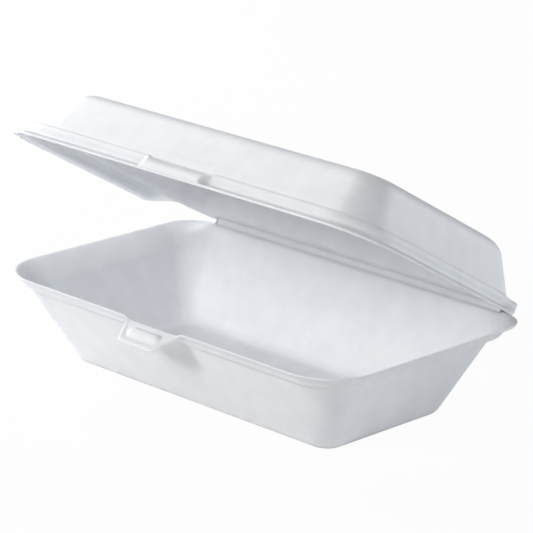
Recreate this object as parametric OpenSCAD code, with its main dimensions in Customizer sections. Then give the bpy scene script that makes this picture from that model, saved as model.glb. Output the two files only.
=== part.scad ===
// Foam clamshell container: a tray and a lid pressed from one foam sheet and folded at a back crease.
// Millimetres. X runs along the length, the lock is at -Y, the crease is at +Y and Z is up.
// The origin is the middle of the tray's underside. The lid is drawn part open.

/* [Tray] */
// Length of the tray over its rim
tray_length = 224; // [190:1:280]
// Depth of the tray from the rim's front edge to the crease
tray_depth = 139.3; // [120:0.1:190]
// Height of the tray from its underside to the top of its rim
tray_height = 46.1; // [36:0.1:70]
// Lean of the end walls from the upright
end_lean = 25.9; // [15:0.1:32]
// Lean of the front and back walls from the upright
side_lean = 29.4; // [15:0.1:34]
// Corner radius of the floor, seen from above
floor_radius = 9; // [6:0.5:16]
// Corner radius of the walls where they meet the rim, seen from above
wall_radius = 20; // [16:0.5:26]
// Outside radius of the bend between floor and walls
floor_bend = 6.3; // [4:0.1:8]
// Inside radius of the bend between floor and walls
floor_fillet = 8; // [4:0.5:12]

/* [Rim] */
// How far the rim's edge stands out past the end walls
end_rim = 5.4; // [3:0.1:8]
// How far the rim's edge stands out past the front wall
front_rim = 2.9; // [2:0.1:6]
// How far the rim runs out from the back wall to the crease
back_rim = 7.5; // [5:0.1:10]
// Drop of the rim at the crease, from its crest to its underside
rim_drop = 2.8; // [2.4:0.1:4.5]
// Height of the rim's collar over the ledge at its foot
collar_height = 8.2; // [6:0.1:11]
// Height of the rounded ledge at the collar's foot
ledge_rise = 2.8; // [1.6:0.1:4]
// Share of the rim's overhang that the ledge takes up
ledge_share = 0.62; // [0.3:0.01:0.8]
// Corner radius of the rim at the front, seen from above
rim_radius = 26; // [22:0.5:34]
// Corner radius of the rim at the back, seen from above
rim_back_radius = 20; // [14:0.5:28]
// Radius of the roll over the rim's crest at the back
rim_roll = 2.2; // [1.4:0.1:3]

/* [Lid] */
// Height of the lid over the crease
lid_height = 27.3; // [20:0.1:45]
// How far the lid's lip reaches past the rim's ends
lid_end_overlap = 8.5; // [8:0.1:11]
// How far the lid's lip reaches past the rim's front edge
lid_front_overlap = 11.2; // [9.5:0.1:13]
// Width of the lip outside the lid's bead
lip_width = 5.2; // [3.5:0.1:5.4]
// How far the lip hangs below the crease when the lid is shut
lip_drop = 3.8; // [3:0.1:5.5]
// Corner radius of the lip at the front, seen from above
lip_radius = 28; // [24:0.5:34]
// Length of the cut back corner of the lip along the crease
lip_cut_along = 27; // [20:0.5:36]
// Depth of the cut back corner of the lip along the ends
lip_cut_deep = 30; // [22:0.5:40]
// Share of a straight cut in the rounding of the lip's back corners
lip_cut_share = 0.8; // [0:0.05:1]
// Length over which the lip rises before its back corners
lip_rise = 26; // [18:0.5:36]
// How much later the lip's edge rises than the bead
lip_lag = 7; // [0:0.5:8]
// How far the lid's walls lean in between bead and top
lid_lean = 9.9; // [5:0.1:16]
// Distance from the lip's edge to the foot of the lid's wall
lid_shoulder = 11.5; // [10.5:0.1:14]
// Corner radius of the lid's wall at its foot
lid_foot_radius = 18; // [14:0.5:26]
// Corner radius of the lid's top, seen from above
lid_top_radius = 14; // [10:0.5:20]
// Outside radius of the bend between the lid's walls and top
lid_bend = 9.6; // [6:0.1:12]
// Height of the lid's bead above the groove at the wall's foot
bead_rise = 0.6; // [0.2:0.1:1.5]

/* [Sheet] */
// Thickness of the foam sheet
sheet = 2; // [1.4:0.1:2.6]
// Thickness of the sheet where its edges are pressed thin
pressed_edge = 1.2; // [0.8:0.1:1.6]
// Clearance between the shut lid and the tray
nest_gap = 0.3; // [0.2:0.05:0.8]

/* [Lock] */
// Width of the tab where it leaves the rim
tab_root = 34; // [20:0.5:40]
// Width of the tab at its tip
tab_tip = 23.5; // [14:0.5:32]
// How far the tab reaches out past the rim
tab_reach = 11.6; // [8:0.1:14]
// Slope of the tab below the level
tab_slope = 26; // [22:0.5:36]
// Radius of the tab's tip corners
tab_corner = 3; // [1.5:0.5:5]
// Radius of the fillets where the tab's sides meet the rim
tab_fillet = 3; // [1:0.5:4]
// Depth of the dip in the rim behind the tab
tab_dip = 1.6; // [0:0.1:2]
// Place of the lock nub on the tab, as a share of the tab's length from the rim
nub_place = 0.44; // [0.4:0.01:0.55]
// Length of the lock nub on the tab
nub_length = 20; // [12:0.5:22]
// Width of the lock nub
nub_width = 5.4; // [3:0.1:6]
// Height of the lock nub
nub_height = 1.5; // [0.6:0.1:1.6]
// Width of the gap in the lid's bead that takes the tab
lock_width = 38; // [38:0.5:60]

/* [Crease] */
// Length of the crease
crease_length = 194; // [120:1:210]
// Radius of the rounded fold along the crease
crease_radius = 0.9; // [0.6:0.1:1.2]

/* [Pose] */
// Opening of the lid as it is drawn
lid_open = 29.5; // [0:0.5:150]

/* [Hidden] */

// Steps along each rounded corner, small bend, side and rim
corner_steps = 10;
bend_steps = 5;
side_steps = 8;
rim_steps = 8;
// Length over which a changed section eases in along the rim
ease = 3;
overlap = 0.01;
// Shares of the lip's width at which its upper and lower faces are drawn
lip_upper_marks = [0.15, 0.4, 1];
lip_lower_marks = [0.5, 0.8];

// Heights of the rim
wall_top = tray_height - rim_drop;
edge_z = tray_height - pressed_edge;
ledge_z = tray_height - collar_height;
edge_round = pressed_edge / 4;

// Tray walls, with one mean lean in the shared section
mean_lean = (end_lean + side_lean) / 2;
wall_shift = sheet / cos(mean_lean);
half_length = tray_length / 2;
floor_half_length = half_length - end_rim - edge_z * tan(end_lean);
floor_half_depth = (tray_depth - back_rim - front_rim - (wall_top + edge_z) * tan(side_lean)) / 2;

// Places that the tray and the lid share
front_edge = floor_half_depth + edge_z * tan(side_lean) + front_rim;
crease_y = tray_depth - front_edge;
crease_z = wall_top + pressed_edge;

// Lid sizes
lid_half_length = half_length + lid_end_overlap;
lid_half_depth = (tray_depth + lid_front_overlap) / 2;
rim_crest_up = tray_height - crease_z;
groove_z = rim_crest_up + nest_gap + sheet;
lid_slope = atan2(lid_lean, lid_height - groove_z);
bead_crest_z = groove_z + bead_rise;
bead_out = lip_width;
bead_in = lip_width + sheet;
bead_shift = sheet / 3;
bead_mid = (lid_shoulder + bead_out) / 2 - bead_shift;
lip_top = lip_drop - pressed_edge;

function mix(a, b, t) = a + (b - a) * t;
function smooth(t) = t <= 0 ? 0 : t >= 1 ? 1 : t * t * (3 - 2 * t);
function arc(c, r, from, to, n) = [for (i = [0:n]) let (t = mix(from, to, i / n)) c + r * [cos(t), sin(t)]];
function mirrored(points) = [for (i = [len(points) - 1:-1:0]) points[i]];
function turned(points) = [for (p = points) [-p[0], p[1]]];

// Corner arcs meet straight sides in one list of stations round a ring, turning from +X to +Y
function corner(sx, sy, from) = [for (i = [0:corner_steps]) [0, from + 90 * i / corner_steps, sx, sy]];
function inner_steps(n) = [for (i = [1:n - 1]) 1 - 2 * i / n];
function ease_marks(w) = [-w / 2 - ease, -w / 2 - ease / 2, -w / 2, 0, w / 2, w / 2 + ease / 2, w / 2 + ease];
function stations(w) = concat(
    corner(1, 1, 0),
    [for (f = inner_steps(side_steps)) [2, f, 1, 1]],
    corner(-1, 1, 90),
    [for (f = inner_steps(side_steps)) [3, f, -1, 0]],
    corner(-1, -1, 180),
    [for (x = ease_marks(w)) [1, x, 0, -1]],
    corner(1, -1, 270),
    [for (f = inner_steps(side_steps)) [3, -f, 1, 0]]
);

// A station's place on a rounded rectangle: half length, reach to the front and to the back, front corner
// radius, and the back corner's size along X and Y with the share of a straight cut in its round
function on_ring(s, hx, hf, hb, r, bx, by, cut) =
    s[0] == 1 ? [s[1], -hf] :
    s[0] == 2 ? [s[1] * (hx - bx), hb] :
    s[0] == 3 ? [s[2] * hx, mix(-(hf - r), hb - by, (1 + s[1]) / 2)] :
    s[3] < 0 ? [s[2] * (hx - r) + r * cos(s[1]), -(hf - r) + r * sin(s[1])] :
    let (t = back_turn(s)) [
        s[2] * (hx - bx * mix(1 - cos(90 * t), t, cut)),
        hb - by * mix(1 - sin(90 * t), 1 - t, cut)
    ];

// Turn of a station from the ends to the back: 0 before the back corner, 1 from its far end on
function back_turn(s) = s[0] == 2 ? 1 : s[0] == 0 && s[3] > 0 ? (s[1] <= 90 ? s[1] : 180 - s[1]) / 90 : 0;
function front_share(s, w) = s[0] == 1 ? 1 - smooth((abs(s[1]) - w / 2) / ease) : 0;

// Skin over rings of n points each, followed by the middle points of the first and last rings, which cap it
function skin(rings, n) = let (m = (len(rings) - 2) / n, first = m * n, last = first + 1) concat(
    [for (i = [0:n - 1]) [first, (i + 1) % n, i]],
    [for (j = [0:m - 2], i = [0:n - 1]) let (k = (i + 1) % n) [j * n + i, j * n + k, j * n + n + k]],
    [for (j = [0:m - 2], i = [0:n - 1]) let (k = (i + 1) % n) [j * n + i, j * n + n + k, j * n + n + i]],
    [for (i = [0:n - 1]) [last, first - n + i, first - n + (i + 1) % n]]
);

// Tray sections as points of distance out from the outside wall, height, and share of the rim's overhang
function from_foot(p) = [p[0] - p[1] * tan(mean_lean), p[1], 0];
bend_out = floor_bend * tan(mean_lean) - floor_bend / cos(mean_lean);
fillet_z = sheet + floor_fillet;
fillet_out = fillet_z * tan(mean_lean) - wall_shift - floor_fillet / cos(mean_lean);
floor_round = arc([bend_out, floor_bend], floor_bend, -90, -mean_lean, bend_steps);
fillet_round = arc([fillet_out, fillet_z], floor_fillet, -mean_lean, -90, bend_steps);
floor_outside = [for (p = floor_round) from_foot(p)];
floor_inside = [for (p = fillet_round) from_foot(p)];

// Front and ends: a rounded ledge, then a collar that flares to the rim's edge
ledge_top = ledge_z + ledge_rise;
collar_lift = sheet * sin(2 * mean_lean);
function rim_share(z) = ledge_share * smooth((z - ledge_z) / ledge_rise)
    + (1 - ledge_share) * pow(max(0, (z - ledge_top) / (edge_z - ledge_top)), 3);
function collar_inside(t) = let (z = mix(ledge_z + collar_lift, tray_height - edge_round, t))
    [-mix(wall_shift, pressed_edge, t), z, rim_share(z - collar_lift)];
collar_section = concat(
    floor_outside,
    [for (i = [0:rim_steps]) let (z = mix(ledge_z, edge_z, i / rim_steps)) [0, z, rim_share(z)]],
    [[0, edge_z + pressed_edge / 2, 1], [-edge_round, tray_height, 1]],
    [for (i = [rim_steps:-1:0]) collar_inside(i / rim_steps)],
    floor_inside
);

// Back: a roll over the crest that falls to the crease
roll_height = tray_height - rim_roll;
roll_touch = roll_height + rim_roll * sin(mean_lean);
crest = (roll_touch - wall_top) * tan(mean_lean) - wall_shift + rim_roll * cos(mean_lean);
rim_edge_out = back_rim - edge_round;
function rim_top(out) = let (t = (out - crest) / (rim_edge_out - crest))
    tray_height - (tray_height - crease_z) * t * t;
function from_wall_top(p) = [p[0] - (p[1] - wall_top) * tan(mean_lean), p[1], 0];
function from_edge(out, z) = [-(z - wall_top) * tan(mean_lean), z, out / back_rim];
function roll_top(t) = let (out = mix(crest, rim_edge_out, t)) from_edge(out, rim_top(out));
back_section = concat(
    floor_outside,
    [for (i = [0:rim_steps]) let (t = i / rim_steps)
        [0, mix(ledge_z, wall_top, t * (2 - t)), rim_edge_out / back_rim * t * t]],
    [from_edge(back_rim, wall_top + pressed_edge / 2), from_edge(rim_edge_out, crease_z)],
    [for (i = [bend_steps - 1:-1:1]) roll_top(i / bend_steps)],
    [for (p = arc([crest, roll_height], rim_roll, 90, 180 - mean_lean, bend_steps - 1)) from_wall_top(p)],
    floor_inside
);

tray_stations = stations(tab_root);
function dip(s, z) = tab_dip * smooth((z - ledge_top) / (tray_height - ledge_top)) * front_share(s, tab_root);

// A section point's place at a station, for a given overhang of the rim at the back
function tray_place(s, p, back) = let (
    wall_r = mix(floor_radius, wall_radius, p[1] / wall_top) + p[0],
    back_r = mix(wall_r, rim_back_radius, p[2]),
    out_y = floor_half_depth + p[1] * tan(side_lean) + p[0],
    xy = on_ring(
        s,
        floor_half_length + p[1] * tan(end_lean) + p[0] + p[2] * end_rim,
        out_y + p[2] * front_rim,
        out_y + p[2] * back,
        mix(wall_r, rim_radius, p[2]),
        back_r,
        back_r,
        0
    )
) [xy[0], xy[1], p[1] - dip(s, p[1])];
function tray_point(s, j) = mix(
    tray_place(s, collar_section[j], end_rim),
    tray_place(s, back_section[j], back_rim),
    smooth(back_turn(s))
);

module tray_shell() {
    points = concat(
        [for (j = [len(collar_section) - 1:-1:0], s = tray_stations) tray_point(s, j)],
        [[0, 0, sheet], [0, 0, 0]]
    );
    polyhedron(points, skin(points, len(tray_stations)), convexity = 6);
}

// Plan of the tab, from its root inside the rim to its rounded tip
tab_length = (tab_reach + edge_round) / cos(tab_slope);
tab_back = sheet;
tab_side = atan2((tab_root - tab_tip) / 2, tab_length);

tip_middle = tab_tip / 2 - tab_corner * cos(tab_side);
root_middle = tab_root / 2 + tab_fillet * (1 - sin(tab_side)) / cos(tab_side);
tab_half = concat(
    arc([tip_middle, tab_corner - tab_length], tab_corner, -90, -tab_side, bend_steps),
    arc([root_middle, -tab_fillet], tab_fillet, 180 - tab_side, 90, bend_steps),
    [[tab_root / 2, tab_back]]
);

module tab_plate() {
    translate([0, 0, -sheet])
        linear_extrude(sheet)
            polygon(concat(tab_half, mirrored(turned(tab_half))));
}

// Lock nub: a bar with round ends, sunk so that only a cap of it shows
nub_bar = (nub_width * nub_width / 4 + nub_height * nub_height) / (2 * nub_height);
nub_middle = -tab_length * nub_place;

module lock_nub() {
    intersection() {
        translate([0, nub_middle, nub_height - nub_bar]) {
            rotate([0, 90, 0]) cylinder(r = nub_bar, h = nub_length - nub_width, center = true, $fn = 48);
            for (side = [-1, 1])
                translate([side * (nub_length - nub_width) / 2, 0, 0]) sphere(r = nub_bar, $fn = 48);
        }
        translate([-nub_length / 2, nub_middle - nub_width / 2, -sheet / 2])
            cube([nub_length, nub_width, sheet / 2 + nub_height + overlap]);
    }
}

module tab() {
    translate([0, -front_edge + edge_round, tray_height - tab_dip - edge_round])
        rotate([tab_slope, 0, 0]) {
            tab_plate();
            lock_nub();
        }
}

// Crease strip and its rounded fold, which the lid turns about
module crease() {
    translate([-crease_length / 2, crease_y - back_rim / 2, wall_top + edge_round])
        cube([crease_length, back_rim / 2, pressed_edge / 2]);
    translate([-crease_length / 2, crease_y, crease_z])
        rotate([0, 90, 0]) cylinder(r = crease_radius, h = crease_length, $fn = 32);
}

module base_tray() {
    color("white") union() {
        tray_shell();
        tab();
        crease();
    }
}

// Lid sections as points of distance in from the lip's edge, and height over the crease with the lid shut
lid_bend_z = lid_height - lid_bend;
function lid_wall_at(z) = lid_shoulder + (z - groove_z) * tan(lid_slope);
lid_bend_in = lid_wall_at(lid_bend_z) + lid_bend / cos(lid_slope);
lid_shift = sheet / cos(lid_slope);
groove_round = sheet / 2;

dome_outside = concat(
    turned(arc([-lid_bend_in, lid_bend_z], lid_bend, 90, lid_slope, bend_steps)),
    [[lid_wall_at(groove_z + groove_round), groove_z + groove_round]]
);
dome_inside = concat(
    [[lid_wall_at(groove_z) + lid_shift, groove_z]],
    turned(arc([-lid_bend_in, lid_bend_z], lid_bend - sheet, lid_slope, 90, bend_steps))
);

// Skirt of the front and ends: groove, bead over the rim, then the lip
function bead_arc(reach, rise, foot, n) = [for (i = [0:n]) let (t = 90 * i / n)
    [mix(bead_mid, reach, sin(t)), mix(foot, rise, cos(t))]];
front_skirt = concat(
    [[lid_shoulder - groove_round / 2, groove_z]],
    bead_arc(bead_out, bead_crest_z, 0, bend_steps),
    [for (t = lip_upper_marks) [mix(bead_out, edge_round, t), -lip_top * sqrt(t)]],
    [[0, -lip_drop + pressed_edge / 2], [edge_round, -lip_drop]],
    [for (t = lip_lower_marks) [mix(edge_round, bead_in, t), mix(-lip_drop, -lip_top, t)]],
    mirrored(bead_arc(bead_in, bead_crest_z - sheet, -pressed_edge, bend_steps)),
    [[lid_shoulder, groove_z - sheet]]
);

// Skirt of the lock: a rounded pocket that leaves room for the tab and its nub
lock_count = bend_steps + 4;
lock_out = 2 * edge_round;
lock_in = lid_shoulder - groove_round / 2;
function pocket(t) = [mix(lock_in, lock_out, sin(90 * t)), mix(-lip_top, groove_z, cos(90 * t))];
function pocket_inward(t) = let (
    along = [-(lock_in - lock_out) * cos(90 * t), -(groove_z + lip_top) * sin(90 * t)]
) [-along[1], along[0]] / norm(along);
function pocket_inside(t) = pocket(t) + mix(sheet, pressed_edge, t * t) * pocket_inward(t);
lock_skirt = concat(
    [for (i = [0:lock_count]) pocket(i / lock_count)],
    [[0, -lip_drop + pressed_edge / 2], [edge_round, -lip_drop]],
    [for (i = [lock_count - 1:-1:1]) pocket_inside(i / lock_count)],
    [[lid_shoulder, groove_z - sheet]]
);

// Skirt of the back: a flange that lies along the rim and falls to the fold
fold_gap = (crease_radius + nest_gap) * sqrt(0.5);
function over_rim(in) = in > back_rim - crest ?
    groove_z - sheet :
    rim_top(back_rim - in) - crease_z + nest_gap;
function flange_in(t, end) = mix(lid_shoulder - groove_round / 2, end, t);
function flange_under(t) = max(over_rim(flange_in(t, fold_gap)), fold_gap);
back_skirt = concat(
    [for (i = [0:lock_count]) let (t = i / lock_count)
        [flange_in(t, fold_gap), flange_under(t) + mix(sheet, pressed_edge, t)]],
    [[fold_gap, fold_gap + pressed_edge / 2], [fold_gap, fold_gap]],
    [for (i = [lock_count - 1:-1:1]) let (t = i / lock_count) [flange_in(t, fold_gap), flange_under(t)]],
    [[lid_shoulder, groove_z - sheet]]
);

// Skirt of the back corners: a level flange that clears the rim's crest
corner_skirt = concat(
    [for (i = [0:lock_count]) let (t = i / lock_count)
        [flange_in(t, edge_round), groove_z - sheet + mix(sheet, pressed_edge, t)]],
    [[0, groove_z - sheet + pressed_edge / 2], [edge_round, groove_z - sheet]],
    [for (i = [lock_count - 1:-1:1]) let (t = i / lock_count) [flange_in(t, edge_round), groove_z - sheet]],
    [[lid_shoulder, groove_z - sheet]]
);

lid_stations = stations(lock_width);
// The lip rises along the ends to the level of the back corners, which it reaches where it crosses the rim
lip_cut = norm([lip_cut_along, lip_cut_deep]);
lip_level = (lid_end_overlap - bead_out / 2) / lip_cut_along;
end_run = 2 * lid_half_depth - lip_radius - lip_cut_deep;
function past_end(s) = s[3] < 0 ? -end_run : s[3] == 0 ? end_run * (s[1] - 1) / 2 : back_turn(s) * lip_cut;
function corner_share(s, in) = let (lag = lip_lag * (1 - min(in / bead_in, 1)))
    smooth(1 + (past_end(s) - lip_level * lip_cut - lag) / lip_rise);
function crease_share(s) = smooth((back_turn(s) - lip_level) / (1 - lip_level));

function lid_share(in) = min(in / lid_shoulder, 1);
function lid_radius(in, from) = in <= lid_shoulder ?
    mix(from, lid_foot_radius, lid_share(in)) :
    mix(lid_foot_radius, lid_top_radius, (in - lid_shoulder) / lid_lean);
function lid_at(s, p) = let (
    xy = on_ring(
        s,
        lid_half_length - p[0],
        lid_half_depth - p[0],
        lid_half_depth - p[0],
        lid_radius(p[0], lip_radius),
        lid_radius(p[0], lip_cut_along),
        lid_radius(p[0], lip_cut_deep),
        lip_cut_share * (1 - lid_share(p[0]))
    )
) [xy[0], xy[1] - lid_half_depth, p[1]];
function skirt_section(s, j) = mix(
    mix(
        mix(front_skirt[j], lock_skirt[j], front_share(s, lock_width)),
        corner_skirt[j],
        corner_share(s, front_skirt[j][0])
    ),
    back_skirt[j],
    crease_share(s)
);
function skirt_point(s, j) = lid_at(s, skirt_section(s, j));

module lid_shell() {
    points = concat(
        [for (p = dome_outside, s = lid_stations) lid_at(s, p)],
        [for (j = [0:len(front_skirt) - 1], s = lid_stations) skirt_point(s, j)],
        [for (p = dome_inside, s = lid_stations) lid_at(s, p)],
        [[0, -lid_half_depth, lid_height], [0, -lid_half_depth, lid_height - sheet]]
    );
    polyhedron(points, skin(points, len(lid_stations)), convexity = 6);
}

module lid() {
    color("gainsboro")
        translate([0, crease_y, crease_z])
            rotate([-lid_open, 0, 0])
                lid_shell();
}

base_tray();
lid();
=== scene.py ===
"""Foam clamshell container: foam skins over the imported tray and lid, the crease, and the photo's view."""

import math

import bmesh
import bpy
import numpy as np
from mathutils import Matrix, Vector


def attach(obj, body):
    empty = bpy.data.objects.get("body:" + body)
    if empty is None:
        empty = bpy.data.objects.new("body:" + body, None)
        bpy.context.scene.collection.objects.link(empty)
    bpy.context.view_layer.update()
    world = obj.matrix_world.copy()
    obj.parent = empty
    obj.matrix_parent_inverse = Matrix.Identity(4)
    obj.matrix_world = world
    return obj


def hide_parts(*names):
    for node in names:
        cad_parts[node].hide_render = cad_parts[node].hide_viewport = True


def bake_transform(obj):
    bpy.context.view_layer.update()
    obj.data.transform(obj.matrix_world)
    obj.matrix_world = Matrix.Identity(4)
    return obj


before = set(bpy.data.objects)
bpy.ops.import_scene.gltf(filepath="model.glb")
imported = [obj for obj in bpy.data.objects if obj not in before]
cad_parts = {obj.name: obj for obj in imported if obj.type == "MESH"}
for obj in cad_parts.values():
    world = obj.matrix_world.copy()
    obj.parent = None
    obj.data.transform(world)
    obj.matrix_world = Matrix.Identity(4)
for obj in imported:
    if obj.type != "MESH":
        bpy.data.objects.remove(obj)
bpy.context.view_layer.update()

MM = 0.001
WELD = 0.001

# Tray sizes in millimetres, as in the part's source
TRAY_LENGTH = 224.0
TRAY_DEPTH = 139.3
TRAY_HEIGHT = 46.1
END_LEAN = math.radians(25.9)
SIDE_LEAN = math.radians(29.4)
FLOOR_RADIUS = 9.0
WALL_RADIUS = 20.0
FLOOR_BEND = 6.3
FLOOR_FILLET = 8.0
END_RIM = 5.4
FRONT_RIM = 2.9
BACK_RIM = 7.5
RIM_DROP = 2.8
COLLAR_HEIGHT = 8.2
LEDGE_RISE = 2.8
LEDGE_SHARE = 0.62
INNER_FLARE = 3.0
FLARE_POWER = 1.8
RIM_RADIUS = 26.0
RIM_BACK_RADIUS = 20.0
RIM_ROLL = 2.2

# Lid sizes
LID_HEIGHT = 27.3
LID_END_OVERLAP = 8.5
LID_FRONT_OVERLAP = 11.2
LIP_WIDTH = 5.2
LIP_DROP = 3.8
LIP_RADIUS = 28.0
LIP_SHARES = np.array([0.15, 0.4, 1.0])
LIP_UNDER_SHARES = np.array([0.5, 0.8])
LIP_CUT_ALONG = 27.0
LIP_CUT_DEEP = 30.0
LIP_CUT_SHARE = 0.8
LIP_RISE = 20.0
LIP_LAG = 7.0
LID_LEAN = 9.9
LID_SHOULDER = 11.5
LID_FOOT_RADIUS = 18.0
LID_TOP_RADIUS = 14.0
LID_BEND = 9.6
BEAD_RISE = 0.6
GROOVE_DEPTH = 0.7
BACK_FOOT = 9.0
LID_OPEN = math.radians(29.5)

# Sheet, lock and crease sizes
SHEET = 2.0
PRESSED_EDGE = 1.2
NEST_GAP = 0.3
TAB_ROOT = 34.0
TAB_TIP = 23.5
TAB_REACH = 11.6
TAB_SLOPE = math.radians(26)
TAB_CORNER = 3.0
TAB_FILLET = 3.0
TAB_DIP = 1.6
TAB_RIDGE = 0.35
RIDGE_IN = 1.0
RIDGE_WIDTH = 0.8
RIDGE_START = 3.0
GROOVE_RING = 1.45
GROOVE_WIDTH = 0.3
GROOVE_START = 2.0
NUB_FADE = 1.25
NUB_PLACE = 0.44
NUB_LENGTH = 20.0
NUB_WIDTH = 5.4
NUB_HEIGHT = 1.5
LOCK_WIDTH = 38.0
MARK_PLACE = 19.5
MARK_IN = 8.5
MARK_RADIUS = 1.1
MARK_DEPTH = 0.7
MARK_RING = 1 / 3
MARK_RING_PLACE = 2.0
MARK_RING_WIDTH = 0.6
LINE_START = -22.6
LINE_END = 10.5
LINE_HEIGHT = 9.4
LINE_WIDTH = 0.5
LINE_RISE = 0.3
LINE_FADE = 2.0
CREASE_LENGTH = 194.0
CREASE_RADIUS = 0.9
WEB_LENGTH = 189.0
WEB_REACH = 5.8
WEB_RIM_HANDLE = 2.2
WEB_LID_HANDLE = 0.6
WEB_THICK = 0.2
DOT_STEP = 8.0
DOT_WIDTH = 1.1
DOT_PLACE = 0.35
DOT_SHARE = 0.2
DOT_DEPTH = 0.4

# Foam and studio values
CELL_SCALE = 600.0
MOTTLE_SCALE = 90.0
MOTTLE_DETAIL = 4
CELL_SHARE = 0.6
MOTTLE_LOW = 0.3
MOTTLE_HIGH = 0.7
GLOSS_SPREAD = 0.05
CELL_HEIGHT = 0.4
FOAM_SPECULAR = 0.35
SCATTER_REACH = 4.0
KEY_COLOUR = (1, 0.99, 0.975)
FILL_COLOUR = (0.95, 0.975, 1)
FLOOR_REACH = 6.0
FLOOR_GREY = 0.85
FLOOR_ROUGH = 0.8
FLOOR_WHITE = 0.95
LAMP_DISTANCE = 1.6
LAMP_TARGET = (0, 0, 0.06)

# Steps of the grids
CORNER_STEPS = 28
SIDE_STEPS = 40
BEND_STEPS = 12
WALL_STEPS = 10
LID_WALL_STEPS = 28
RIM_STEPS = 28
SKIRT_STEPS = 4
TAB_STEPS = 40
EDGE_STEPS = 6
SKIRT_ROWS = 9
CREASE_STEPS = 100
CREASE_SIDES = 24
WEB_STEPS = 16
STEPS_PER_DOT = 8
LOCK_EASE = 4.5
DIP_EASE = 6.0

# Distances of the flat rings from the bends, down to a ring round the middle
FLOOR_RINGS = np.array([30.0, 12, 4, 1.2])
LID_RINGS = np.array([40.0, 15, 5, 1.5])

# Places worked out from the sizes
WALL_TOP = TRAY_HEIGHT - RIM_DROP
EDGE_Z = TRAY_HEIGHT - PRESSED_EDGE
LEDGE_Z = TRAY_HEIGHT - COLLAR_HEIGHT
LEDGE_TOP = LEDGE_Z + LEDGE_RISE
EDGE_ROUND = PRESSED_EDGE / 4
MEAN_LEAN = (END_LEAN + SIDE_LEAN) / 2
WALL_SHIFT = SHEET / math.cos(MEAN_LEAN)
FLOOR_HALF_LENGTH = TRAY_LENGTH / 2 - END_RIM - EDGE_Z * math.tan(END_LEAN)
FLOOR_HALF_DEPTH = (TRAY_DEPTH - BACK_RIM - FRONT_RIM - (WALL_TOP + EDGE_Z) * math.tan(SIDE_LEAN)) / 2
FRONT_EDGE = FLOOR_HALF_DEPTH + EDGE_Z * math.tan(SIDE_LEAN) + FRONT_RIM
CREASE_Y = TRAY_DEPTH - FRONT_EDGE
CREASE_Z = WALL_TOP + PRESSED_EDGE
LID_HALF_LENGTH = TRAY_LENGTH / 2 + LID_END_OVERLAP
LID_HALF_DEPTH = (TRAY_DEPTH + LID_FRONT_OVERLAP) / 2
GROOVE_Z = TRAY_HEIGHT - CREASE_Z + NEST_GAP + SHEET
LID_SLOPE = math.atan2(LID_LEAN, LID_HEIGHT - GROOVE_Z)
GROOVE_ROUND = SHEET / 2
LIP_TOP = LIP_DROP - PRESSED_EDGE

CORNER, FRONT, BACK, END = range(4)


def mix(a, b, t):
    """Straight blend from a to b."""
    return a + (b - a) * t


def smooth(t):
    """Eased step: 3t^2 - 2t^3 between 0 and 1, flat outside."""
    t = np.clip(t, 0, 1)
    return t * t * (3 - 2 * t)


def bump(value, place, width):
    """Bell curve: e to the minus square of the distance from a place in widths."""
    return np.exp(-((value - place) / width) ** 2)


def arc(centre, radius, start, end, steps):
    """Points of a circle from one angle in radians to another."""
    t = np.linspace(start, end, steps + 1)
    return np.stack([centre[0] + radius * np.cos(t), centre[1] + radius * np.sin(t)], 1)


def spline(points, steps):
    """Catmull-Rom curve through rows of points: each span is a cubic whose end slopes follow the rest."""
    before = np.concatenate([points[:1], points[:-2]])
    a, b = points[:-1], points[1:]
    after = np.concatenate([points[2:], points[-1:]])
    t = np.linspace(0, 1, steps, endpoint=False).reshape((-1,) + (1,) * points.ndim)
    square = 2 * before - 5 * a + 4 * b - after
    cube = 3 * (a - b) + after - before
    curve = a + 0.5 * t * (b - before + t * (square + t * cube))
    curve = np.swapaxes(curve, 0, 1).reshape((-1,) + points.shape[1:])
    return np.concatenate([curve, points[-1:]])


def ring_stations(front_x):
    """Rows of kind, value and sides round a ring: corners by angle, sides by share, the front by x."""
    def rows(kind, values, side_x, side_y):
        values = np.asarray(values, float)
        return np.stack([v + 0 * values for v in (kind, values, side_x, side_y)], 1)

    def corner(side_x, side_y, start):
        return rows(CORNER, np.linspace(start, start + 90, CORNER_STEPS + 1), side_x, side_y)

    inner = np.linspace(1, -1, SIDE_STEPS + 1)[1:-1]
    return np.concatenate([
        corner(1, 1, 0),
        rows(BACK, inner, 1, 1),
        corner(-1, 1, 90),
        rows(END, inner, -1, 0),
        corner(-1, -1, 180),
        rows(FRONT, front_x, 0, -1),
        corner(1, -1, 270),
        rows(END, -inner, 1, 0),
    ])


def back_turn(stations):
    """Turn from the ends to the back: 0 before the back corners, rising to 1 over their quarter circle."""
    kind, value, _, side_y = stations.T
    angle = np.where(value <= 90, value, 180 - value)
    return np.select([kind == BACK, (kind == CORNER) & (side_y > 0)], [1, angle / 90], 0)


def front_share(stations, width, ease):
    """1 round the middle of the front, easing to 0 so that the half is passed at the ends of a width."""
    kind, value = stations[:, 0], stations[:, 1]
    return np.where(kind == FRONT, 1 - smooth((np.abs(value) - width / 2 + ease / 2) / ease), 0)


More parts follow.
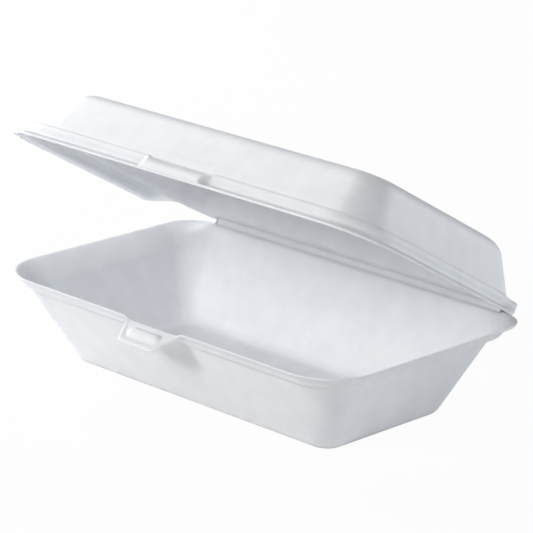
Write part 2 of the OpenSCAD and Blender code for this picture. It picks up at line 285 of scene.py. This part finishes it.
def on_ring(stations, half_x, front, back, radius, corner_x, corner_y, cut):
    """Rounded rectangle: straight sides, round front corners, back corners between an ellipse and a cut."""
    kind, value, side_x, side_y = stations.T
    angle = np.radians(value)
    turn = back_turn(stations)
    quarter = turn * math.pi / 2
    which = [kind == FRONT, kind == BACK, kind == END, side_y < 0]
    x = np.select(which, [
        np.clip(value, radius - half_x, half_x - radius),
        value * (half_x - corner_x),
        side_x * half_x,
        side_x * (half_x - radius) + radius * np.cos(angle),
    ], side_x * (half_x - corner_x * mix(1 - np.cos(quarter), turn, cut)))
    y = np.select(which, [
        0 * value - front,
        0 * value + back,
        mix(radius - front, back - corner_y, (1 + value) / 2),
        radius - front + radius * np.sin(angle),
    ], back - corner_y * mix(1 - np.sin(quarter), 1 - turn, cut))
    return x, y


def make_piece(name, points, faces, material):
    """A smooth mesh object at the origin from points in millimetres and a list of face arrays."""
    mesh = bpy.data.meshes.new(name)
    mesh.from_pydata((points * MM).tolist(), [], [f for block in faces for f in block.tolist()])
    mesh.polygons.foreach_set("use_smooth", np.ones(len(mesh.polygons), bool))
    mesh.materials.append(material)
    piece = bpy.data.objects.new(name, mesh)
    bpy.context.scene.collection.objects.link(piece)
    return piece


def shell(name, rings, first, last, material):
    """A closed skin over rings of points, capped by fans to a middle point at either end."""
    m, n, _ = rings.shape
    j, i = np.meshgrid(np.arange(m - 1), np.arange(n), indexing="ij")
    k = (i + 1) % n
    quads = np.stack([j * n + i, j * n + n + i, j * n + n + k, j * n + k], -1).reshape(-1, 4)
    i = np.arange(n)
    k = (i + 1) % n
    fan_first = np.stack([np.full(n, m * n), i, k], 1)
    fan_last = np.stack([np.full(n, m * n + 1), (m - 1) * n + k, (m - 1) * n + i], 1)
    points = np.concatenate([rings.reshape(-1, 3), [first, last]])
    piece = make_piece(name, points, [quads, fan_first, fan_last], material)
    weld = bmesh.new()
    weld.from_mesh(piece.data)
    bmesh.ops.remove_doubles(weld, verts=weld.verts, dist=WELD * MM)
    weld.to_mesh(piece.data)
    weld.free()
    return piece


def rim_share(z):
    """Share of the rim's overhang at a height: an eased ledge, then a cubic flare up to the edge."""
    flare = np.clip((z - LEDGE_TOP) / (EDGE_Z - LEDGE_TOP), 0, None)
    return LEDGE_SHARE * smooth((z - LEDGE_Z) / LEDGE_RISE) + (1 - LEDGE_SHARE) * flare**3


def rim_crest():
    """How far out from the wall's top the rim's crest lies at the back, where the roll meets the slope."""
    touch = TRAY_HEIGHT - RIM_ROLL + RIM_ROLL * math.sin(MEAN_LEAN)
    return (touch - WALL_TOP) * math.tan(MEAN_LEAN) - WALL_SHIFT + RIM_ROLL * math.cos(MEAN_LEAN)


def triples(out, z, share):
    """Columns of distance out from the wall, height and rim share."""
    out, z, share = np.broadcast_arrays(out, z, share)
    return np.stack([out, z, share], 1).astype(float)


def tray_sections():
    """The collar's and the back's sections, from floor outside over the rim to floor inside."""
    lean = math.tan(MEAN_LEAN)
    bend_out = FLOOR_BEND * (lean - 1 / math.cos(MEAN_LEAN))
    fillet_z = SHEET + FLOOR_FILLET
    fillet_out = fillet_z * lean - WALL_SHIFT - FLOOR_FILLET / math.cos(MEAN_LEAN)
    low = arc((bend_out, FLOOR_BEND), FLOOR_BEND, -math.pi / 2, -MEAN_LEAN, BEND_STEPS)
    high = arc((fillet_out, fillet_z), FLOOR_FILLET, -MEAN_LEAN, -math.pi / 2, BEND_STEPS)
    flat = FLOOR_RINGS
    floor_outside = np.concatenate([
        triples(bend_out - flat, 0, 0),
        triples(low[:, 0] - low[:, 1] * lean, low[:, 1], 0),
        triples(0, np.linspace(low[-1, 1], LEDGE_Z, WALL_STEPS + 1)[1:-1], 0),
    ])
    lift = SHEET * math.sin(2 * MEAN_LEAN)
    inner_low = LEDGE_Z + lift - INNER_FLARE
    floor_inside = np.concatenate([
        triples(-WALL_SHIFT, np.linspace(inner_low, high[0, 1], WALL_STEPS + 1)[1:-1], 0),
        triples(high[:, 0] - high[:, 1] * lean, high[:, 1], 0),
        triples(fillet_out - SHEET * lean - flat[::-1], SHEET, 0),
    ])

    z = np.linspace(LEDGE_Z, EDGE_Z, RIM_STEPS + 1)
    turn = np.linspace(0, math.pi / 2, EDGE_STEPS + 1)[1:]
    inner_t = np.linspace(1, 0, RIM_STEPS + 1)
    inner_z = mix(inner_low, TRAY_HEIGHT - EDGE_ROUND, inner_t)
    collar = np.concatenate([
        floor_outside,
        triples(0, z, rim_share(z)),
        triples(-EDGE_ROUND * (1 - np.cos(turn)) * 2, EDGE_Z + PRESSED_EDGE * np.sin(turn), 1),
        triples(-mix(WALL_SHIFT, PRESSED_EDGE, inner_t), inner_z, inner_t**FLARE_POWER),
        floor_inside,
    ])

    crest = rim_crest()
    edge_out = BACK_RIM - EDGE_ROUND
    t = np.linspace(0, 1, RIM_STEPS + 1)
    edge_z = WALL_TOP + PRESSED_EDGE * np.sin(turn)
    half = RIM_STEPS // 2
    out = np.linspace(edge_out, crest, half + 2)[1:-1]
    top = TRAY_HEIGHT - (TRAY_HEIGHT - CREASE_Z) * ((out - crest) / (edge_out - crest)) ** 2
    roll = arc((crest, TRAY_HEIGHT - RIM_ROLL), RIM_ROLL, math.pi / 2, math.pi - MEAN_LEAN, RIM_STEPS - half)
    back = np.concatenate([
        floor_outside,
        triples(0, mix(LEDGE_Z, WALL_TOP, t * (2 - t)), edge_out / BACK_RIM * t * t),
        triples(-(edge_z - WALL_TOP) * lean, edge_z, mix(edge_out, BACK_RIM, np.sin(2 * turn)) / BACK_RIM),
        triples(-(top - WALL_TOP) * lean, top, out / BACK_RIM),
        triples(roll[:, 0] - (roll[:, 1] - WALL_TOP) * lean, roll[:, 1], 0),
        floor_inside,
    ])
    return collar, back


def tab_edge(x):
    """How far the tab reaches past the rim at a place along the front: level tip, round corners, tapered
    sides and a fillet to the rim, as one curve that is read off by its distance from the middle."""
    length = (TAB_REACH + EDGE_ROUND) / math.cos(TAB_SLOPE)
    taper = math.atan2((TAB_ROOT - TAB_TIP) / 2, length)
    tip_middle = TAB_TIP / 2 - TAB_CORNER * math.cos(taper)
    root_middle = TAB_ROOT / 2 + TAB_FILLET * (1 - math.sin(taper)) / math.cos(taper)
    tip = arc((tip_middle, length - TAB_CORNER), TAB_CORNER, math.pi / 2, taper, BEND_STEPS)
    root = arc((root_middle, TAB_FILLET), TAB_FILLET, math.pi + taper, 1.5 * math.pi, BEND_STEPS)
    outline = np.concatenate([tip, root])
    return np.interp(np.abs(x), outline[:, 0], outline[:, 1], left=length, right=0), length, taper


def tab_relief(x, out, length, taper):
    """Height over the tab's plane: the nub as a round-ended bar, a groove and a ridge inside the edge."""
    nub_out = NUB_PLACE * length
    along = np.clip(np.abs(x) - (NUB_LENGTH - NUB_WIDTH) / 2, 0, None)
    nub = np.hypot(along, out - nub_out) / (NUB_WIDTH / 2)
    to_side = ((TAB_ROOT / 2 - np.abs(x)) - out * math.tan(taper)) * math.cos(taper)
    to_edge = np.minimum(to_side, length - out)
    ridge = TAB_RIDGE * bump(to_edge, RIDGE_IN, RIDGE_WIDTH) * smooth(out / RIDGE_START)
    groove = TAB_RIDGE * bump(nub, GROOVE_RING, GROOVE_WIDTH) * smooth((out - nub_out) / GROOVE_START)
    return NUB_HEIGHT * smooth(NUB_FADE - nub) + ridge - groove


def tray_rings(stations):
    """Each section point on its rounded rectangle. The collar's section eases into the back's at the corners,
    the rim dips at the tab, and the sheet's edge is drawn out along a slope to make the tab."""
    dip = front_share(stations, TAB_ROOT, DIP_EASE) * TAB_DIP
    collar, back_section = tray_sections()
    placed = []
    for section, back_rim in ((collar, END_RIM), (back_section, BACK_RIM)):
        out, z, share = section[:, :, None].transpose(1, 0, 2)
        wall = np.maximum(mix(FLOOR_RADIUS, WALL_RADIUS, z / WALL_TOP) + out, 0.5)
        back_radius = mix(wall, RIM_BACK_RADIUS, share)
        depth = FLOOR_HALF_DEPTH + z * math.tan(SIDE_LEAN) + out
        x, y = on_ring(
            stations,
            FLOOR_HALF_LENGTH + z * math.tan(END_LEAN) + out + share * END_RIM,
            depth + share * FRONT_RIM,
            depth + share * back_rim,
            mix(wall, RIM_RADIUS, share),
            back_radius,
            back_radius,
            0,
        )
        z = z - dip * smooth((z - LEDGE_TOP) / (TRAY_HEIGHT - LEDGE_TOP))
        placed.append(np.stack([x, y, z], -1))
    rings = mix(placed[0], placed[1], smooth(back_turn(stations))[None, :, None])

    at_front = stations[:, 0] == FRONT
    x = np.where(at_front, stations[:, 1], TRAY_LENGTH)
    reach, length, taper = tab_edge(x)
    out_way = np.array([0, -math.cos(TAB_SLOPE), -math.sin(TAB_SLOPE)])
    up_way = np.array([0, -math.sin(TAB_SLOPE), math.cos(TAB_SLOPE)])
    low = np.argmax(collar[:, 2] >= 1)
    high = low + EDGE_STEPS
    share = np.linspace(0, 1, TAB_STEPS + 1)[1:, None]
    under = rings[low] + (share * reach)[..., None] * out_way
    edge = rings[low + 1:high + 1] + reach[:, None] * out_way
    out = (1 - share) * reach
    lift = np.where(reach > 0, tab_relief(x, out, length, taper), 0) * smooth((reach - out) / PRESSED_EDGE)
    over = rings[high] + out[..., None] * out_way + lift[..., None] * up_way
    return np.concatenate([rings[:low + 1], under, edge, over, rings[high + 1:]])


def lid_sections():
    """Dome outside, four skirts and dome inside, as distance in from the lip and height over the crease."""
    bend_z = LID_HEIGHT - LID_BEND
    slope = math.tan(LID_SLOPE)
    bend_in = LID_SHOULDER + (bend_z - GROOVE_Z) * slope + LID_BEND / math.cos(LID_SLOPE)
    flat = LID_RINGS
    outer = arc((-bend_in, bend_z), LID_BEND, math.pi / 2, LID_SLOPE, BEND_STEPS) * [-1, 1]
    inner = arc((-bend_in, bend_z), LID_BEND - SHEET, LID_SLOPE, math.pi / 2, BEND_STEPS) * [-1, 1]
    foot_z = GROOVE_Z + GROOVE_ROUND
    wall_z = np.linspace(outer[-1, 1], foot_z, LID_WALL_STEPS + 1)[1:]
    in_z = np.linspace(GROOVE_Z, inner[0, 1], WALL_STEPS + 1)[:-1]
    dome_outside = np.concatenate([
        np.stack([bend_in + flat, np.full(len(flat), LID_HEIGHT)], 1),
        outer,
        np.stack([LID_SHOULDER + (wall_z - GROOVE_Z) * slope, wall_z], 1),
    ])
    dome_inside = np.concatenate([
        np.stack([LID_SHOULDER + (in_z - GROOVE_Z) * slope + SHEET / math.cos(LID_SLOPE), in_z], 1),
        inner,
        np.stack([bend_in + flat[::-1], np.full(len(flat), LID_HEIGHT - SHEET)], 1),
    ])

    count = SKIRT_ROWS
    crest = GROOVE_Z + BEAD_RISE
    bead_in = LIP_WIDTH + SHEET
    middle = (LID_SHOULDER + LIP_WIDTH) / 2 - SHEET / 3
    quarter = np.linspace(0, math.pi / 2, count - len(LIP_SHARES))

    def bead(reach, rise, foot):
        return np.stack([mix(middle, reach, np.sin(quarter)), mix(foot, rise, np.cos(quarter))], 1)

    lip = LIP_SHARES
    under = LIP_UNDER_SHARES
    foot_in = LID_SHOULDER - GROOVE_ROUND / 2
    edge = [[0, PRESSED_EDGE / 2 - LIP_DROP], [EDGE_ROUND, -LIP_DROP]]
    last = [[LID_SHOULDER, GROOVE_Z - SHEET]]
    front = np.concatenate([
        [[foot_in, GROOVE_Z - GROOVE_DEPTH]],
        bead(LIP_WIDTH, crest, 0),
        np.stack([mix(LIP_WIDTH, EDGE_ROUND, lip), -LIP_TOP * np.sqrt(lip)], 1),
        edge,
        np.stack([mix(EDGE_ROUND, bead_in, under), mix(-LIP_DROP, -LIP_TOP, under)], 1),
        bead(bead_in, crest - SHEET, -PRESSED_EDGE)[::-1],
        last,
    ])

    t = np.linspace(0, 1, count + 1)
    a = t * math.pi / 2
    lock_out = 2 * EDGE_ROUND
    pocket = np.stack([mix(foot_in, lock_out, np.sin(a)), mix(-LIP_TOP, GROOVE_Z, np.cos(a))], 1)
    along = np.stack([-(foot_in - lock_out) * np.cos(a), -(GROOVE_Z + LIP_TOP) * np.sin(a)], 1)
    inward = np.stack([-along[:, 1], along[:, 0]], 1) / np.linalg.norm(along, axis=1)[:, None]
    inside = pocket + mix(SHEET, PRESSED_EDGE, t * t)[:, None] * inward
    lock = np.concatenate([pocket, edge, inside[count - 1:0:-1], last])

    fold = (CREASE_RADIUS + NEST_GAP) * math.sqrt(0.5)
    rim_in = rim_crest()

    def clear(inward):
        share = np.clip((BACK_RIM - inward - rim_in) / (BACK_RIM - EDGE_ROUND - rim_in), 0, None)
        over_rim = TRAY_HEIGHT - (TRAY_HEIGHT - CREASE_Z) * share**2 - CREASE_Z + NEST_GAP
        return np.maximum(np.minimum(over_rim, GROOVE_Z - SHEET), fold)

    back_in = mix(foot_in, fold, t)
    under_in = mix(BACK_FOOT, fold, t)
    thick = mix(SHEET, PRESSED_EDGE, t)
    back = np.concatenate([
        np.stack([back_in, clear(back_in) + thick], 1),
        [[fold, fold + PRESSED_EDGE / 2], [fold, fold]],
        np.stack([under_in, clear(under_in)], 1)[count - 1:0:-1],
        [[BACK_FOOT, GROOVE_Z - SHEET]],
    ])

    level = GROOVE_Z - SHEET
    flange_in = mix(foot_in, EDGE_ROUND, t)
    corner = np.concatenate([
        np.stack([flange_in, level + thick], 1),
        [[0, level + PRESSED_EDGE / 2], [EDGE_ROUND, level]],
        np.stack([flange_in, np.full(count + 1, level)], 1)[count - 1:0:-1],
        last,
    ])
    return dome_outside, (front, lock, corner, back), dome_inside


def lid_relief(x, inward, z):
    """Pressed forms on the lid's outside as shifts in and down: a pit in a low ring at both ends of the lock,
    and a fine raised line on the front wall."""
    off = np.hypot(np.abs(x) - MARK_PLACE, inward - MARK_IN) / MARK_RADIUS
    pit = MARK_DEPTH * (bump(off, 0, 1) - MARK_RING * bump(off, MARK_RING_PLACE, MARK_RING_WIDTH))
    along = smooth((x - LINE_START) / LINE_FADE) * smooth((LINE_END - x) / LINE_FADE)
    line = LINE_RISE * along * bump(z, LINE_HEIGHT, LINE_WIDTH)
    on_wall = z > LINE_HEIGHT / 2
    return np.where(on_wall, -line, 0), np.where(on_wall, 0, -pit)


def lid_rings(stations):
    """Skirts blended round the lip and smoothed along each section, between the dome's outside and inside."""
    dome_outside, (front, lock, corner, back), dome_inside = lid_sections()
    kind, value = stations[:, 0], stations[:, 1]
    turn = back_turn(stations)
    level = (LID_END_OVERLAP - LIP_WIDTH / 2) / LIP_CUT_ALONG
    cut_length = math.hypot(LIP_CUT_ALONG, LIP_CUT_DEEP)
    end_run = 2 * LID_HALF_DEPTH - LIP_RADIUS - LIP_CUT_DEEP
    side_y = stations[:, 3]
    at_end = end_run * (value - 1) / 2
    past = np.select([side_y < 0, kind == END], [-end_run + 0 * turn, at_end], turn * cut_length)
    lag = LIP_LAG * (1 - np.clip(front[:, :1] / (LIP_WIDTH + SHEET), None, 1))
    to_corner = smooth(1 + (past - level * cut_length - lag) / LIP_RISE)[..., None]
    to_crease = smooth((turn - level) / (1 - level))[None, :, None]
    to_lock = front_share(stations, LOCK_WIDTH + LOCK_EASE / 2, LOCK_EASE)[None, :, None]
    front, lock, corner, back = (s[:, None, :] for s in (front, lock, corner, back))
    skirt = mix(mix(mix(front, lock, to_lock), corner, to_corner), back, to_crease)

    count = len(stations)
    whole = np.concatenate([
        np.repeat(dome_outside[:, None, :], count, 1),
        spline(skirt, SKIRT_STEPS),
        np.repeat(dome_inside[:, None, :], count, 1),
    ])
    inward, z = whole[..., 0], whole[..., 1]
    outside = np.arange(len(whole))[:, None] < len(dome_outside) + SKIRT_STEPS * SKIRT_ROWS
    to_in, to_z = lid_relief(np.where(kind == FRONT, value, LID_HALF_LENGTH), inward, z)
    inward = inward + np.where(outside, to_in, 0)
    z = z + np.where(outside, to_z, 0)
    share = np.clip(inward / LID_SHOULDER, None, 1)
    above = np.clip((inward - LID_SHOULDER) / LID_LEAN, 0, None)

    def radius(start):
        return np.maximum(mix(mix(start, LID_FOOT_RADIUS, share), LID_TOP_RADIUS, above), 0.5)

    x, y = on_ring(
        stations,
        LID_HALF_LENGTH - inward,
        LID_HALF_DEPTH - inward,
        LID_HALF_DEPTH - inward,
        radius(LIP_RADIUS),
        radius(LIP_CUT_ALONG),
        radius(LIP_CUT_DEEP),
        LIP_CUT_SHARE * (1 - share),
    )
    return np.stack([x, y - LID_HALF_DEPTH, z], -1)


def open_lid(points):
    """Lid points from the shut pose to the drawn one: a turn about the crease."""
    c, s = math.cos(LID_OPEN), math.sin(LID_OPEN)
    return points @ np.array([[1, 0, 0], [0, c, -s], [0, s, c]]) + [0, CREASE_Y, CREASE_Z]


def crease_points():
    """A round bar along the crease."""
    x = np.linspace(-CREASE_LENGTH / 2, CREASE_LENGTH / 2, CREASE_STEPS)[:, None]
    a = np.linspace(2 * math.pi, 0, CREASE_SIDES, endpoint=False)[None, :]
    x, a = np.broadcast_arrays(x, a)
    return np.stack([x, CREASE_Y + CREASE_RADIUS * np.cos(a), CREASE_Z + CREASE_RADIUS * np.sin(a)], -1)


def web_points():
    """The sheet's fold inside the crease: a cubic Bezier curve that leaves the rim's top and meets the lid's
    flange along their slopes, with a pressed dot every few millimetres."""
    x = np.linspace(-WEB_LENGTH / 2, WEB_LENGTH / 2, STEPS_PER_DOT * int(WEB_LENGTH / DOT_STEP))[:, None]
    front = np.linspace(0, 1, WEB_STEPS + 1)
    share = np.concatenate([front, front[::-1]])[None, :]
    layer = np.concatenate([0 * front, 0 * front + WEB_THICK])[None, :]
    crest = rim_crest()
    fall = (BACK_RIM - WEB_REACH - crest) / (BACK_RIM - EDGE_ROUND - crest)
    rise = (TRAY_HEIGHT - CREASE_Z) * (1 - fall**2)
    slope = math.atan(2 * (TRAY_HEIGHT - CREASE_Z) * fall / (BACK_RIM - EDGE_ROUND - crest))
    c, s = math.cos(LID_OPEN), math.sin(LID_OPEN)
    on_rim = np.array([-WEB_REACH, rise])
    on_lid = np.array([[c, s], [-s, c]]) @ [-WEB_REACH, rise + NEST_GAP]
    from_rim = on_rim + WEB_RIM_HANDLE * np.array([math.cos(slope), -math.sin(slope)])
    from_lid = on_lid + WEB_LID_HANDLE * np.array([math.cos(slope + LID_OPEN), -math.sin(slope + LID_OPEN)])
    t = share[..., None]
    u = 1 - t
    curve = u**3 * on_rim + 3 * t * u**2 * from_rim + 3 * t * t * u * from_lid + t**3 * on_lid
    angle = np.arctan2(curve[..., 1], curve[..., 0])
    dot = bump(np.mod(x + DOT_STEP / 2, DOT_STEP), DOT_STEP / 2, DOT_WIDTH)
    dot = dot * bump(share, DOT_PLACE, DOT_SHARE)
    away = np.hypot(curve[..., 0], curve[..., 1]) - layer - DOT_DEPTH * dot
    return np.stack([x + 0 * angle, CREASE_Y + away * np.cos(angle), CREASE_Z + away * np.sin(angle)], -1)


def link(material, output, target):
    """One link between two sockets of a material's nodes."""
    material.node_tree.links.new(output, target)


def foam_cells():
    """Node group of pressed foam: fused cells a millimetre or two across over a slow mottle of the sheet."""
    group = bpy.data.node_groups.new("foam_cells", "ShaderNodeTree")
    for name, value in (("Cell Size", CELL_SCALE), ("Mottle Size", MOTTLE_SCALE)):
        socket = group.interface.new_socket(name, in_out="INPUT", socket_type="NodeSocketFloat")
        socket.default_value = value
    for name in ("Height", "Mottle"):
        group.interface.new_socket(name, in_out="OUTPUT", socket_type="NodeSocketFloat")
    nodes, links = group.nodes, group.links
    start, end = nodes.new("NodeGroupInput"), nodes.new("NodeGroupOutput")
    place = nodes.new("ShaderNodeTexCoord")
    cells = nodes.new("ShaderNodeTexVoronoi")
    cells.feature = "SMOOTH_F1"
    mottle = nodes.new("ShaderNodeTexNoise")
    mottle.inputs["Detail"].default_value = MOTTLE_DETAIL
    links.new(place.outputs["Object"], cells.inputs["Vector"])
    links.new(place.outputs["Object"], mottle.inputs["Vector"])
    links.new(start.outputs["Cell Size"], cells.inputs["Scale"])
    links.new(start.outputs["Mottle Size"], mottle.inputs["Scale"])
    both = nodes.new("ShaderNodeMath")
    both.operation = "MULTIPLY_ADD"
    both.inputs[1].default_value = CELL_SHARE
    links.new(cells.outputs["Distance"], both.inputs[0])
    links.new(mottle.outputs["Fac"], both.inputs[2])
    links.new(both.outputs[0], end.inputs["Height"])
    links.new(mottle.outputs["Fac"], end.inputs["Mottle"])
    return group


def foam(name, cells, low, high, rough, bump, scatter):
    """White foam: colour and gloss follow the mottle, and the cells stand as a faint bump."""
    material = bpy.data.materials.new(name)
    material.use_nodes = True
    nodes = material.node_tree.nodes
    shader = nodes["Principled BSDF"]
    grain = nodes.new("ShaderNodeGroup")
    grain.node_tree = cells
    colour = nodes.new("ShaderNodeValToRGB")
    colour.color_ramp.elements[0].position = MOTTLE_LOW
    colour.color_ramp.elements[1].position = MOTTLE_HIGH
    colour.color_ramp.elements[0].color = (*low, 1)
    colour.color_ramp.elements[1].color = (*high, 1)
    gloss = nodes.new("ShaderNodeMapRange")
    gloss.inputs["To Min"].default_value = rough - GLOSS_SPREAD
    gloss.inputs["To Max"].default_value = rough + GLOSS_SPREAD
    relief = nodes.new("ShaderNodeBump")
    relief.inputs["Strength"].default_value = bump
    relief.inputs["Distance"].default_value = CELL_HEIGHT * MM
    link(material, grain.outputs["Mottle"], colour.inputs["Fac"])
    link(material, grain.outputs["Mottle"], gloss.inputs["Value"])
    link(material, grain.outputs["Height"], relief.inputs["Height"])
    link(material, colour.outputs["Color"], shader.inputs["Base Color"])
    link(material, gloss.outputs["Result"], shader.inputs["Roughness"])
    link(material, relief.outputs["Normal"], shader.inputs["Normal"])
    shader.inputs["Specular IOR Level"].default_value = FOAM_SPECULAR
    shader.inputs["Subsurface Weight"].default_value = scatter
    shader.inputs["Subsurface Radius"].default_value = (1, 1, 1)
    shader.inputs["Subsurface Scale"].default_value = SCATTER_REACH * MM
    return material


cells = foam_cells()
sheet_foam = foam("sheet_foam", cells, (0.80, 0.813, 0.838), (0.85, 0.863, 0.888), 0.5, 0.12, 0.4)
pressed_foam = foam("pressed_foam", cells, (0.83, 0.843, 0.866), (0.87, 0.883, 0.906), 0.4, 0.06, 0)

fine_marks = np.linspace(-26, 26, 131)
wide_marks = np.linspace(28, 70, 22)
front_marks = np.concatenate([-wide_marks[::-1], fine_marks, wide_marks])
stations = ring_stations(front_marks)
tray = shell("tray_skin", tray_rings(stations)[::-1], (0, 0, SHEET), (0, 0, 0), sheet_foam)
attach(tray, "base_tray")
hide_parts("base_tray")

lid_top = open_lid(np.array([[0, -LID_HALF_DEPTH, LID_HEIGHT], [0, -LID_HALF_DEPTH, LID_HEIGHT - SHEET]]))
lid = shell("lid_skin", open_lid(lid_rings(stations)), lid_top[0], lid_top[1], sheet_foam)
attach(lid, "lid")
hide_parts("lid")

crease_rings = crease_points()
crease = shell("crease_fold", crease_rings, crease_rings[0].mean(0), crease_rings[-1].mean(0), pressed_foam)
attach(crease, "base_tray")

web_rings = web_points()
web = shell("crease_web", web_rings, web_rings[0].mean(0), web_rings[-1].mean(0), pressed_foam)
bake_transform(web)


def studio_floor():
    """A wide pale floor, brightened for the camera, with the object's shadow left in it."""
    mesh = bpy.data.meshes.new("studio_floor")
    r = FLOOR_REACH
    mesh.from_pydata([(-r, -r, 0), (r, -r, 0), (r, r, 0), (-r, r, 0)], [], [(0, 1, 2, 3)])
    floor = bpy.data.objects.new("studio_floor", mesh)
    bpy.context.scene.collection.objects.link(floor)
    material = bpy.data.materials.new("studio_floor")
    material.use_nodes = True
    nodes = material.node_tree.nodes
    shader = nodes["Principled BSDF"]
    shader.inputs["Base Color"].default_value = (FLOOR_GREY, FLOOR_GREY, FLOOR_GREY, 1)
    shader.inputs["Roughness"].default_value = FLOOR_ROUGH
    glow = nodes.new("ShaderNodeEmission")
    glow.inputs["Color"].default_value = (1, 1, 1, 1)
    path = nodes.new("ShaderNodeLightPath")
    seen = nodes.new("ShaderNodeMath")
    seen.operation = "MULTIPLY"
    seen.inputs[1].default_value = FLOOR_WHITE
    blend = nodes.new("ShaderNodeMixShader")
    link(material, path.outputs["Is Camera Ray"], seen.inputs[0])
    link(material, seen.outputs[0], blend.inputs["Fac"])
    link(material, shader.outputs["BSDF"], blend.inputs[1])
    link(material, glow.outputs["Emission"], blend.inputs[2])
    link(material, blend.outputs["Shader"], nodes["Material Output"].inputs["Surface"])
    mesh.materials.append(material)


def studio_world(level):
    """An even pale surround, white to the camera."""
    world = bpy.data.worlds.new("studio")
    bpy.context.scene.world = world
    world.use_nodes = True
    nodes, links = world.node_tree.nodes, world.node_tree.links
    around = nodes["Background"]
    around.inputs["Color"].default_value = (0.94, 0.97, 1.0, 1)
    around.inputs["Strength"].default_value = level
    white = nodes.new("ShaderNodeBackground")
    white.inputs["Color"].default_value = (1, 1, 1, 1)
    path = nodes.new("ShaderNodeLightPath")
    blend = nodes.new("ShaderNodeMixShader")
    links.new(path.outputs["Is Camera Ray"], blend.inputs["Fac"])
    links.new(around.outputs["Background"], blend.inputs[1])
    links.new(white.outputs["Background"], blend.inputs[2])
    links.new(blend.outputs["Shader"], nodes["World Output"].inputs["Surface"])


def soft_lamp(name, azimuth, elevation, size, power, colour):
    """A square soft box at a set distance, placed by its angle round from the front and up."""
    a, e = math.radians(azimuth), math.radians(elevation)
    back = Vector((math.sin(a) * math.cos(e), -math.cos(a) * math.cos(e), math.sin(e)))
    lamp = bpy.data.lights.new(name, "AREA")
    lamp.size = size
    lamp.energy = power
    lamp.color = colour
    holder = bpy.data.objects.new(name, lamp)
    holder.location = Vector(LAMP_TARGET) + back * LAMP_DISTANCE
    holder.rotation_mode = "QUATERNION"
    holder.rotation_quaternion = (-back).to_track_quat("-Z", "Y")
    bpy.context.scene.collection.objects.link(holder)


def photo_camera():
    """The photo's view: a long lens placed by azimuth, elevation, distance and roll about a target."""
    azimuth, elevation, roll = math.radians(43.807), math.radians(17.672), math.radians(1.535)
    distance = 1.351682
    target = Vector((0.023854, -0.018734, 0.069347))
    focal_pixels, frame_pixels = 2929.468, 533
    back = Vector((
        math.sin(azimuth) * math.cos(elevation),
        -math.cos(azimuth) * math.cos(elevation),
        math.sin(elevation),
    ))
    right = (-back).cross(Vector((0, 0, 1))).normalized()
    up = right.cross(-back)
    tilted_right = right * math.cos(roll) + up * math.sin(roll)
    tilted_up = up * math.cos(roll) - right * math.sin(roll)
    data = bpy.data.cameras.new("photo_camera")
    data.sensor_width = 36
    data.lens = focal_pixels / frame_pixels * data.sensor_width
    data.clip_start, data.clip_end = 0.05, 50
    camera = bpy.data.objects.new("photo_camera", data)
    turn = Matrix((tilted_right, tilted_up, back)).transposed().to_4x4()
    camera.matrix_world = Matrix.Translation(target + back * distance) @ turn
    bpy.context.scene.collection.objects.link(camera)
    bpy.context.scene.camera = camera


studio_floor()
studio_world(0.02)
soft_lamp("front_box", -16, 25, 0.3, 11, KEY_COLOUR)
soft_lamp("high_front_box", 0, 36, 0.3, 5, KEY_COLOUR)
soft_lamp("left_box", -100, 35, 0.8, 14, FILL_COLOUR)
soft_lamp("low_left_box", -85, 10, 0.8, 12.5, FILL_COLOUR)
soft_lamp("right_box", 84, 8, 0.8, 7.6, FILL_COLOUR)
soft_lamp("back_box", 160, 15, 0.8, 10, FILL_COLOUR)
photo_camera()
bpy.context.scene.view_settings.view_transform = "Standard"
